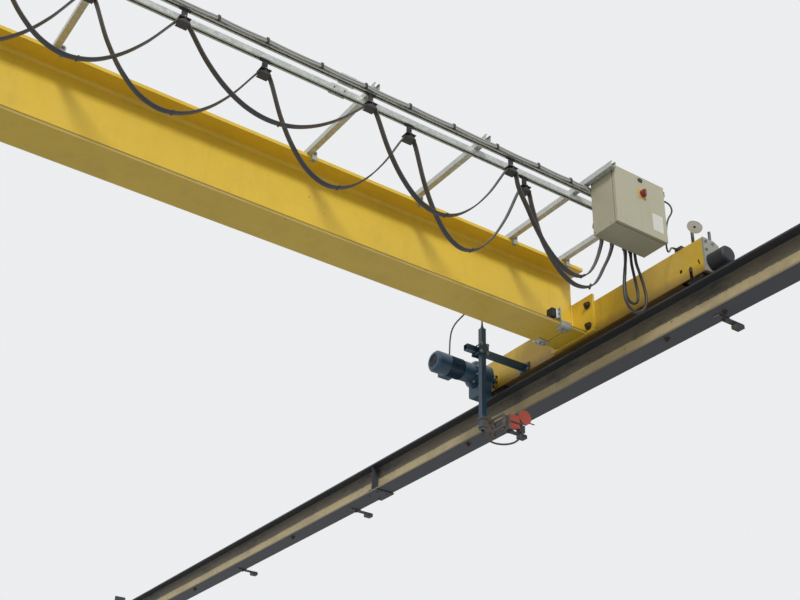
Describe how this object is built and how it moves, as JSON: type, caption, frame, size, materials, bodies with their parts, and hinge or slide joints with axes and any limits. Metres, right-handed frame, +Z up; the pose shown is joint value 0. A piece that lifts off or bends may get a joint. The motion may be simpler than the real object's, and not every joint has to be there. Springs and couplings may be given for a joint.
{
  "type": "single-girder overhead bridge crane on runway beams",
  "caption": "Overhead travelling bridge crane with a rolled single girder, end carriages, festoon cables and a control cabinet on two runway beams.",
  "frame": {"origin": "centre of the bearing face under the wall-side runway beam at its middle support", "axes": "+Z up, +X along the bridge girder towards the wall-side runway, +Y along the runways"},
  "size_m": [12.3195, 12, 1.333],
  "materials": {
    "crane_yellow": "gloss enamel over rolled steel, dusty on top",
    "runway_steel": "old dark paint with beige dust",
    "rail_steel": "worn rail head over rust",
    "grey_paint": "grey primer",
    "black_rubber": "smooth moulded rubber",
    "galvanised": "zinc coated sheet",
    "wheel_iron": "turned cast iron",
    "drive_blue": "blue machine enamel",
    "dark_plastic": "dark moulded plastic",
    "cable_grey": "matt flat cable sheath",
    "cabinet_paint": "fine textured powder coat",
    "switch_red": "moulded plastic",
    "collector_red": "red-brown moulded plastic",
    "signal_white": "dusty white enamel",
    "plate_yellow": "moulded plastic",
    "cable_black": "smooth round cable sheath"
  },
  "bodies": {
    "runway": {"runway_beam_wall": "runway_steel", "runway_beam_far": "runway_steel", "rail_wall": "rail_steel", "rail_far": "rail_steel", "runway_stops": "runway_steel", "runway_brackets": "runway_steel"},
    "bridge": {"bridge_girder": "crane_yellow", "head_plates": "crane_yellow", "end_carriage_wall": "crane_yellow", "end_carriage_far": "crane_yellow", "buffer_plates": "grey_paint", "buffers": "black_rubber", "trolley_stop_brackets": "galvanised", "trolley_stop_rubbers": "black_rubber", "drive_gearboxes": "drive_blue", "drive_motors": "drive_blue", "signal_stalk": "grey_paint", "signal_disc": "signal_white", "festoon_arms": "galvanised", "festoon_track_inner": "galvanised", "festoon_track_outer": "galvanised", "festoon_carriers_inner": "dark_plastic", "festoon_carriers_outer": "dark_plastic", "festoon_end_boxes": "dark_plastic", "festoon_cable_inner": "cable_grey", "festoon_cable_outer": "cable_grey", "track_cable_lower": "cable_black", "track_cable_upper": "cable_black", "cabinet_body": "cabinet_paint", "cabinet_mounting_plate": "galvanised", "cable_fittings": "dark_plastic", "cabinet_loop_cable_wide": "cable_grey", "cabinet_loop_cable_narrow": "cable_grey", "cabinet_side_cable": "cable_grey", "motor_cable": "cable_black", "collector_bracket": "drive_blue", "collector_post": "drive_blue", "collector_arms": "grey_paint", "collector_head": "collector_red", "collector_terminal": "dark_plastic", "collector_feed_cable": "cable_black", "collector_cable": "cable_black"},
    "wheel_ws": {"wheel_wall_south": "wheel_iron"},
    "wheel_wn": {"wheel_wall_north": "wheel_iron"},
    "wheel_fs": {"wheel_far_south": "wheel_iron"},
    "wheel_fn": {"wheel_far_north": "wheel_iron"},
    "door": {"cabinet_door": "cabinet_paint", "switch_plate": "plate_yellow"},
    "main_switch": {"switch_handle": "switch_red"}
  },
  "joints": [
    {"name": "bridge_travel", "type": "slide", "parent": "runway", "child": "bridge", "axis": [0, 1, 0], "range_m": [-1.79, 7.37]},
    {"name": "wheel_ws_turn", "type": "hinge", "parent": "bridge", "child": "wheel_ws", "pos_m": [0, -3.83, 0.3853], "axis": [1, 0, 0], "continuous": true},
    {"name": "wheel_wn_turn", "type": "hinge", "parent": "bridge", "child": "wheel_wn", "pos_m": [0, -1.75, 0.3853], "axis": [1, 0, 0], "continuous": true},
    {"name": "wheel_fs_turn", "type": "hinge", "parent": "bridge", "child": "wheel_fs", "pos_m": [-12, -3.83, 0.3853], "axis": [1, 0, 0], "continuous": true},
    {"name": "wheel_fn_turn", "type": "hinge", "parent": "bridge", "child": "wheel_fn", "pos_m": [-12, -1.75, 0.3853], "axis": [1, 0, 0], "continuous": true},
    {"name": "cabinet_door_hinge", "type": "hinge", "parent": "bridge", "child": "door", "pos_m": [-0.5215, -3.855, 0.493], "axis": [1, 0, 0], "range_deg": [0, 100]},
    {"name": "main_switch_turn", "type": "hinge", "parent": "door", "child": "main_switch", "pos_m": [-0.502, -3.87, 0.788], "axis": [0, 1, 0], "range_deg": [0, 90]}
  ],
  "couplings": [
    {"joint": "wheel_ws_turn", "follows": "bridge_travel", "rad_per_m": -12.5},
    {"joint": "wheel_wn_turn", "follows": "bridge_travel", "rad_per_m": -12.5},
    {"joint": "wheel_fs_turn", "follows": "bridge_travel", "rad_per_m": -12.5},
    {"joint": "wheel_fn_turn", "follows": "bridge_travel", "rad_per_m": -12.5}
  ]
}
